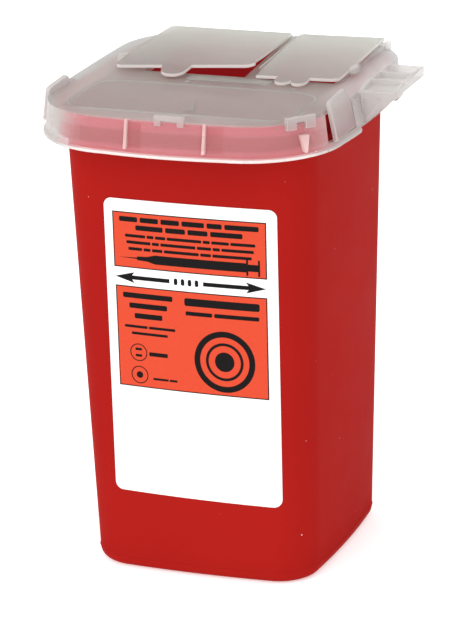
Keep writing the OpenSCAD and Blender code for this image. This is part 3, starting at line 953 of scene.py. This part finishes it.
def lid_outside():
    """The lid's closed outer form: bead, leaning skirt and deck with a round edge."""
    rings = [lid_ring(LID_BOTTOM_Z + 0.1, 1.2)]
    rings += rounded_edge(lid_ring, LID_BOTTOM_Z + BEAD_R, BEAD_R - BEAD_OUT, BEAD_R, -80, 60, 7)
    rings += [lid_ring(LID_BOTTOM_Z + BEAD_H, -0.02)]
    rings += [lid_ring(z) for z in (147.5, 150, 152.5)]
    rings += rounded_edge(lid_ring, DECK_Z - DECK_EDGE, DECK_EDGE, DECK_EDGE, 0, 90, 6)
    return skin("lid_shell", rings)


def lid_inside():
    """The hollow under the deck, with a sloping upper edge."""
    wall, slope = LID_WALL, 0.6
    top = DECK_Z - wall
    rings = [lid_ring(z, wall) for z in (LID_BOTTOM_Z - 0.5, LID_BOTTOM_Z + 1, 148, top - slope)]
    return skin("hollow", rings + [lid_ring(top, wall + slope)])


def make_lid_shell():
    """The hollow cap with the curb round its openings, its windows, its bead's gap and its pockets.

    The cutters reach well past the cap.
    """
    shell = combine(lid_outside(), lid_inside(), "DIFFERENCE")
    curb_top = DECK_Z + FLAP_RISE - FLAP_GAP
    curb = prism("curb", [(OPENING_Y[0], DECK_Z - 0.3), (CURB_REAR, DECK_Z - 0.3), (CURB_REAR, curb_top),
                          (OPENING_Y[0], DECK_Z + 0.03)], LARGE_FLAP_X[0], SMALL_FLAP_X[1])
    combine(shell, curb, "UNION")
    cuts = [prism("hole", hole, 140, 160, "z") for hole in opening_outlines()]
    for x0, x1 in ((-WINDOW_X[1], -WINDOW_X[0]), WINDOW_X):
        cuts.append(block("window", (x0, ARM_Y[0] - ARM_SLOT, LID_BOTTOM_Z + BEAD_H),
                          (x1, ARM_Y[1] + ARM_SLOT, 170)))
    cuts.append(block("gap", (45, BEAD_GAP_Y[0], 140), (55, BEAD_GAP_Y[1], LID_BOTTOM_Z + 2.1)))
    cuts += [skirt_pocket(rib + RIB_T / 2) for rib in RIB_X]
    for cut in cuts:
        combine(shell, cut, "DIFFERENCE")
    smooth(shell, 30)
    finish_piece(shell, "skirt", "lid", "lid_frame", others=("deck", "bead", "pocket"), choose=lid_look)


def round_tube(name, points, radius, squash_z, sides=10):
    """A bead of flattened round section along a closed path at one height."""
    count = len(points)
    turns = [2 * math.pi * k / sides for k in range(sides)]
    verts, faces = [], []
    for i, (x, y, z) in enumerate(points):
        before, after = points[i - 1], points[(i + 1) % count]
        along = Vector((after[0] - before[0], after[1] - before[1], 0)).normalized()
        across = Vector((along.y, -along.x, 0))
        for a in turns:
            p = Vector((x, y, z)) + across * (radius * math.cos(a))
            verts.append((p.x, p.y, p.z + radius * squash_z * math.sin(a)))
        here, there = i * sides, (i + 1) % count * sides
        for k in range(sides):
            m = (k + 1) % sides
            faces.append((here + k, there + k, there + m, here + m))
    return smooth(face_outwards(new_object(name, mesh_from(name, verts, faces))), 60)


RAISED_LOW = DECK_Z - 0.1
PANEL_RIDGE = (-36.2, -47.0, 37.2, -14.0)
FRONT_STRIP = (-10.3, -8.0, 17.2, -3.6)
DIVIDER_RIB_X = (7.9, 9.3)
PANEL_MARK = ((2.6, -43.6), (5.2, -41.4), (1.8, -30.6))
DECK_NUBS = ((-8.6, -10.6), (26.5, -11.4))


def make_panel_ridge():
    """The low rounded ridge round the fixed front panel."""
    path = [(x, y, RAISED_LOW) for x, y in rounded_rectangle(*PANEL_RIDGE, 8, 12)]
    finish_piece(round_tube("panel_ridge", path, 0.55, 0.7), "deck", "lid")


def raised(name, points, height, look="deck", edge=0.15):
    """A low shape with softened edges that stands on the deck."""
    piece = bevelled(prism(name, points, RAISED_LOW, RAISED_LOW + height, "z"), edge, 2, 50)
    finish_piece(smooth(piece, 40), look, "lid")


def make_deck_details():
    """The strip ahead of the openings, the divider's two ribs, the hinge post and the panel's marks."""
    raised("front_strip", rounded_rectangle(*FRONT_STRIP, 0.6, 3), 0.45)
    top = DECK_Z + FLAP_RISE - FLAP_GAP + 0.35
    side = [(9, DECK_Z), (42, DECK_Z), (42, top), (9.6, DECK_Z + 0.9), (9, DECK_Z + 0.5)]
    for i, x in enumerate(DIVIDER_RIB_X):
        rib = bevelled(prism(f"divider_rib_{i + 1}", side, x, x + 0.5), 0.12)
        finish_piece(smooth(rib, 40), "lip", "lid")
    post = rounded_rectangle(SMALL_FLAP_X[1] + 0.2, 42.6, SMALL_FLAP_X[1] + 1.9, CURB_REAR, 0.3, 3)
    raised("hinge_post", post, HINGE[1] - RAISED_LOW, "thick", 0.2)
    raised("panel_mark", PANEL_MARK, 0.3, edge=0.08)
    for i, place in enumerate(DECK_NUBS):
        raised(f"deck_nub_{i + 1}", disc(*place, 0.9, 20), 0.45)


def make_skirt_ribs():
    """Two upright ribs on the front of the skirt."""
    low_y, low_z = -BEAD_SIZE[1] / 2, LID_BOTTOM_Z + BEAD_H - 0.2
    high_y, high_z = -DECK_SIZE[1] / 2, DECK_Z - 0.4
    side = [(low_y + 0.5, low_z), (low_y + 2.2, low_z), (high_y + 0.8, high_z), (high_y - 0.4, high_z)]
    for i, x in enumerate(RIB_X):
        rib = bevelled(prism(f"skirt_rib_{i + 1}", side, x, x + RIB_T), 0.2)
        finish_piece(smooth(rib), "rib", "lid")


GUSSET_TURN = 52
GUSSET_Z = (144.9, 150.2)
GUSSET_W = (0.9, 3.0)
GUSSET_REACH = (29.3, 28.6)
GUSSET_DEPTH = 2


def make_corner_gusset():
    """A small wedge on the skirt below the corner catch, wide above and narrow below."""
    inwards = DECK_BOW + DECK_CORNER
    corner = Vector((DECK_SIZE[0] / 2 - inwards, inwards - DECK_SIZE[1] / 2, 0))
    turn = math.radians(GUSSET_TURN)
    out = Vector((math.sin(turn), -math.cos(turn), 0))
    across = Vector((math.cos(turn), math.sin(turn), 0))
    points = []
    for z, width, reach in zip(GUSSET_Z, GUSSET_W, GUSSET_REACH):
        near = reach - GUSSET_DEPTH
        for along, far in ((-1, near), (1, near), (1, reach), (-1, reach)):
            points.append(corner + across * (along * width / 2) + out * far + Vector((0, 0, z)))
    faces = [(3, 2, 1, 0), (4, 5, 6, 7), (0, 1, 5, 4), (1, 2, 6, 5), (2, 3, 7, 6), (3, 0, 4, 7)]
    wedge = bevelled(new_object("corner_gusset", mesh_from("corner_gusset", points, faces)), 0.2)
    finish_piece(smooth(wedge, 40), "rib", "lid")


# -------- flaps


def ahead(y):
    """How far ahead of its hinge edge a place on a flap lies: 1 at the lip, less behind it."""
    return (FLAP_Y[1] - y) / (FLAP_Y[1] - FLAP_Y[0])


def flap_edges(span, flare, y):
    """The left and right edges of a flap, which spread from the hinge to the lip."""
    return span[0] - flare[0] * ahead(y), span[1] + flare[1] * ahead(y)


def large_right(y):
    """The large flap's right edge without its ear."""
    return flap_edges(LARGE_FLAP_X, LARGE_FLARE, y)[1]


def flap_under(y):
    """Height of a flat closed flap's underside."""
    s = 1 - ahead(y)
    return DECK_Z + FLAP_GAP + FLAP_RISE * s + 4 * FLAP_CROWN * s * (1 - s)


def warp(x, y):
    """How far the large flap's free corner and its ear are bent up at a place."""
    across = max(0.0, (x - LARGE_FLAP_X[0]) / (LARGE_FLAP_X[1] - LARGE_FLAP_X[0]))
    beyond = max(0.0, x - large_right(y))
    return WARP_RISE * across * max(0.0, ahead(y)) ** WARP_ALONG + EAR_CURL * (beyond / EAR_REACH) ** 2


def ajar(x, y, z):
    """A point of the large flap turned about its hinge by the angle that it stands open."""
    turn = math.radians(AJAR)
    dy, dz = y - HINGE[0], z - HINGE[1]
    return (x, HINGE[0] + dy * math.cos(turn) + dz * math.sin(turn),
            HINGE[1] - dy * math.sin(turn) + dz * math.cos(turn))


def large_place(plan, lift):
    """Where a point of the large flap's plan goes; its tab droops from the lip to the deck."""
    x, y = plan[:2]
    lip = FLAP_Y[0]
    base = flap_under(max(y, lip)) + warp(x, max(y, lip))
    if y < lip:
        base += (DECK_Z + LARGE_TAB_DROP - base) * (lip - y) / LARGE_TAB_REACH
    return ajar(x, y, base + lift)


def small_place(plan, lift):
    """Where a point of the small flap's plan goes; its two right corners are bent up a little."""
    x, y = plan[:2]
    lip = FLAP_Y[0]
    across = max(0.0, (x - SMALL_FLAP_X[0]) / (SMALL_FLAP_X[1] - SMALL_FLAP_X[0]))
    front = min(max(0.0, ahead(y)), 1.0)
    base = flap_under(max(y, lip)) + SMALL_LIP_RISE * front ** 2
    base += across * (SMALL_CORNER_RISE[0] * front ** 4 + SMALL_CORNER_RISE[1] * (1 - front) ** 2)
    if y < lip:
        base += (DECK_Z + 0.1 - base) * (lip - y) / SMALL_TAB_REACH
    return (x, y, base + lift)


def rim_face(face):
    """1 for a face of a plate's rim, 0 for its top and its underside."""
    return int(abs(face.normal.z) < 0.8)


def make_flap(name, plan, place, body, cad_node):
    """A thin plate cut to its plan and bent by place(plan, lift)."""
    shape = bmesh.new()
    shape.faces.new([shape.verts.new(mm(x, y, 0)) for x, y in plan])
    cut_to_cells(shape, 0, -40, 42, 2)
    cut_to_cells(shape, 1, -12, 44, 2, (FLAP_Y[0],))
    bmesh.ops.remove_doubles(shape, verts=shape.verts, dist=mm(0.02))
    plate = thick_sheet(name, shape, place, 0, FLAP_T)
    piece = smooth(bevelled(plate, 0.28, 2, 45), 50)
    finish_piece(piece, "flap", body, cad_node, others=("lip",), choose=rim_face)


def make_lug(name, x, start, end, radius, place, body):
    """A round-ended knob at the side of a flap, from the deck's level to above the flap's top."""
    under = place((x, start), 0)[2]
    turns = [math.pi * i / 12 for i in range(13)]
    points = [(x + radius * math.cos(a), end + radius * math.sin(a)) for a in turns]
    points += [(x - radius * math.cos(a), start - radius * math.sin(a)) for a in turns]
    lug = prism(name, points, under - 0.4, under + FLAP_T + LUG_RISE, "z")
    finish_piece(smooth(bevelled(lug, 0.5, 3, 50), 40), "thick", body)


def large_tab_outline():
    """The large flap's single-lobed tab, left to right."""
    width, tip = LARGE_TAB_W
    sides = ([], [])
    for s in (0, 0.2, 0.4, 0.6, 0.7, 0.8, 0.88, 0.94, 0.98, 1.0):
        half = (width + (tip - width) * s) / 2
        if s > 0.6:
            half *= math.sqrt(1 - ((s - 0.6) / 0.42) ** 2)
        for way, side in zip((-1, 1), sides):
            side.append((LARGE_TAB_X + way * half, FLAP_Y[0] - LARGE_TAB_REACH * s))
    return sides[0] + list(reversed(sides[1]))


def small_tab_outline():
    """The small flap's tab, two round lobes side by side, left to right."""
    r = SMALL_TAB_LOBE
    y = FLAP_Y[0] - SMALL_TAB_REACH + r
    points = [(SMALL_TAB_X - 2 * r, FLAP_Y[0])]
    for middle in (SMALL_TAB_X - r, SMALL_TAB_X + r):
        angles = [math.pi * (1 + i / 10) for i in range(11)]
        points += [(middle + r * math.cos(a), y + r * math.sin(a)) for a in angles]
    points.append((SMALL_TAB_X + 2 * r, FLAP_Y[0]))
    return [p for i, p in enumerate(points) if i == 0 or math.dist(p, points[i - 1]) > 0.05]


def make_flaps():
    """Both flaps with their tabs and their side knobs."""
    lip, rear = FLAP_Y
    left, right = flap_edges(LARGE_FLAP_X, LARGE_FLARE, lip)
    ear_tip = (large_right(lip + EAR_FRONT) + EAR_REACH, lip + EAR_FRONT)
    ear_end = (large_right(lip + EAR_LENGTH), lip + EAR_LENGTH)
    plan = [(left, lip + 1.8), (left + 0.5, lip + 0.5), (left + 1.8, lip)] + large_tab_outline()
    plan += [(right, lip), ear_tip, ear_end, (LARGE_FLAP_X[1], rear), (LARGE_FLAP_X[0], rear)]
    make_flap("large_flap_plate", plan, large_place, "large_flap_leaf", "large_flap")
    make_lug("large_flap_lug", -37.6, 7.0, 7.01, 1.8, large_place, "large_flap_leaf")

    left, right = flap_edges(SMALL_FLAP_X, SMALL_FLARE, lip)
    plan = [(left, lip)] + small_tab_outline()
    plan += [(right - 2, lip), (right - 0.6, lip + 0.6), (right, lip + 2)]
    plan += [(SMALL_FLAP_X[1], rear), (SMALL_FLAP_X[0], rear)]
    make_flap("small_flap_plate", plan, small_place, "small_flap_leaf", "small_flap")
    make_lug("small_flap_lug", 39.4, 8.6, 11.8, 1.4, small_place, "small_flap_leaf")


# -------- small parts of the lid


def soft_copy(cad_node, name, width, body, look, edge_look="edge"):
    """A piece with the CAD node's shape, whose edges are softened and have a look of their own, paler with
    painted highlight.
    """
    piece = new_object(name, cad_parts[cad_node].data.copy())
    shape = bmesh.new()
    shape.from_mesh(piece.data)
    bmesh.ops.remove_doubles(shape, verts=shape.verts, dist=mm(0.01))
    bmesh.ops.dissolve_limit(shape, angle_limit=math.radians(2), verts=shape.verts, edges=shape.edges)
    shape.to_mesh(piece.data)
    shape.free()
    piece.data.materials.clear()
    for kind in (look, edge_look):
        piece.data.materials.append(MATERIALS[kind])
    bevelled(piece, width, 3, edge_slot=1)
    smooth(piece, 40)
    edges = [face.material_index for face in piece.data.polygons]
    finish_piece(piece, look, body, cad_node, others=(edge_look,), choose=lambda face: edges[face.index])


def rod(name, start, end, radius, sides=8):
    """A thin round bar between two points."""
    start, end = Vector(start), Vector(end)
    along = (end - start).normalized()
    across = along.orthogonal().normalized()
    other = along.cross(across)
    turns = [2 * math.pi * k / sides for k in range(sides)]
    section = [radius * (across * math.cos(a) + other * math.sin(a)) for a in turns]
    points = [place + corner for place in (start, end) for corner in section]
    return smooth(new_object(name, mesh_from(name, points, joined(sides))), 50)


BRACKET_FRONT_Y = -8.72
BRACKET_LINES = (((47.6, BRACKET_FRONT_Y, 154.5), (58.8, BRACKET_FRONT_Y, 154.5)),
                 ((47.9, BRACKET_FRONT_Y, 154.2), (48.3, BRACKET_FRONT_Y, 145.9)),
                 ((49.6, BRACKET_FRONT_Y, 146.2), (54.2, BRACKET_FRONT_Y, 152.7)),
                 ((48.0, BRACKET_FRONT_Y, 152.9), (54.0, BRACKET_FRONT_Y, 152.9)),
                 ((58.85, -8.4, 154.6), (58.85, 0.2, 155.75)),
                 ((58.85, 0.2, 155.75), (58.85, 19.0, 156.35)))


def make_bracket_lines():
    """The fine raised lines along the bracket's edges."""
    for i, (start, end) in enumerate(BRACKET_LINES):
        finish_piece(rod(f"bracket_line_{i + 1}", start, end, 0.2), "edge", "lid")


def make_small_parts():
    """The bracket, catches and lock arms, and the material of the living hinges."""
    soft_copy("side_bracket", "side_bracket_soft", 0.3, "lid", "bracket", "lip")
    soft_copy("front_catch", "front_catch_soft", 0.4, "lid", "catch")
    soft_copy("corner_catch", "corner_catch_soft", 0.4, "lid", "catch")
    soft_copy("left_lock_arm", "left_lock_arm_soft", 0.35, "left_arm", "arm")
    soft_copy("right_lock_arm", "right_lock_arm_soft", 0.35, "right_arm", "arm")
    for hinge in ("large_flap_hinge", "small_flap_hinge"):
        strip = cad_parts[hinge]
        strip.data.materials.clear()
        strip.data.materials.append(MATERIALS["deck"])


# -------- assembly

make_camera()
make_studio()
make_floor()
make_container()
make_label()
make_lid_shell()
make_panel_ridge()
make_deck_details()
make_skirt_ribs()
make_corner_gusset()
make_flaps()
make_small_parts()
make_bracket_lines()
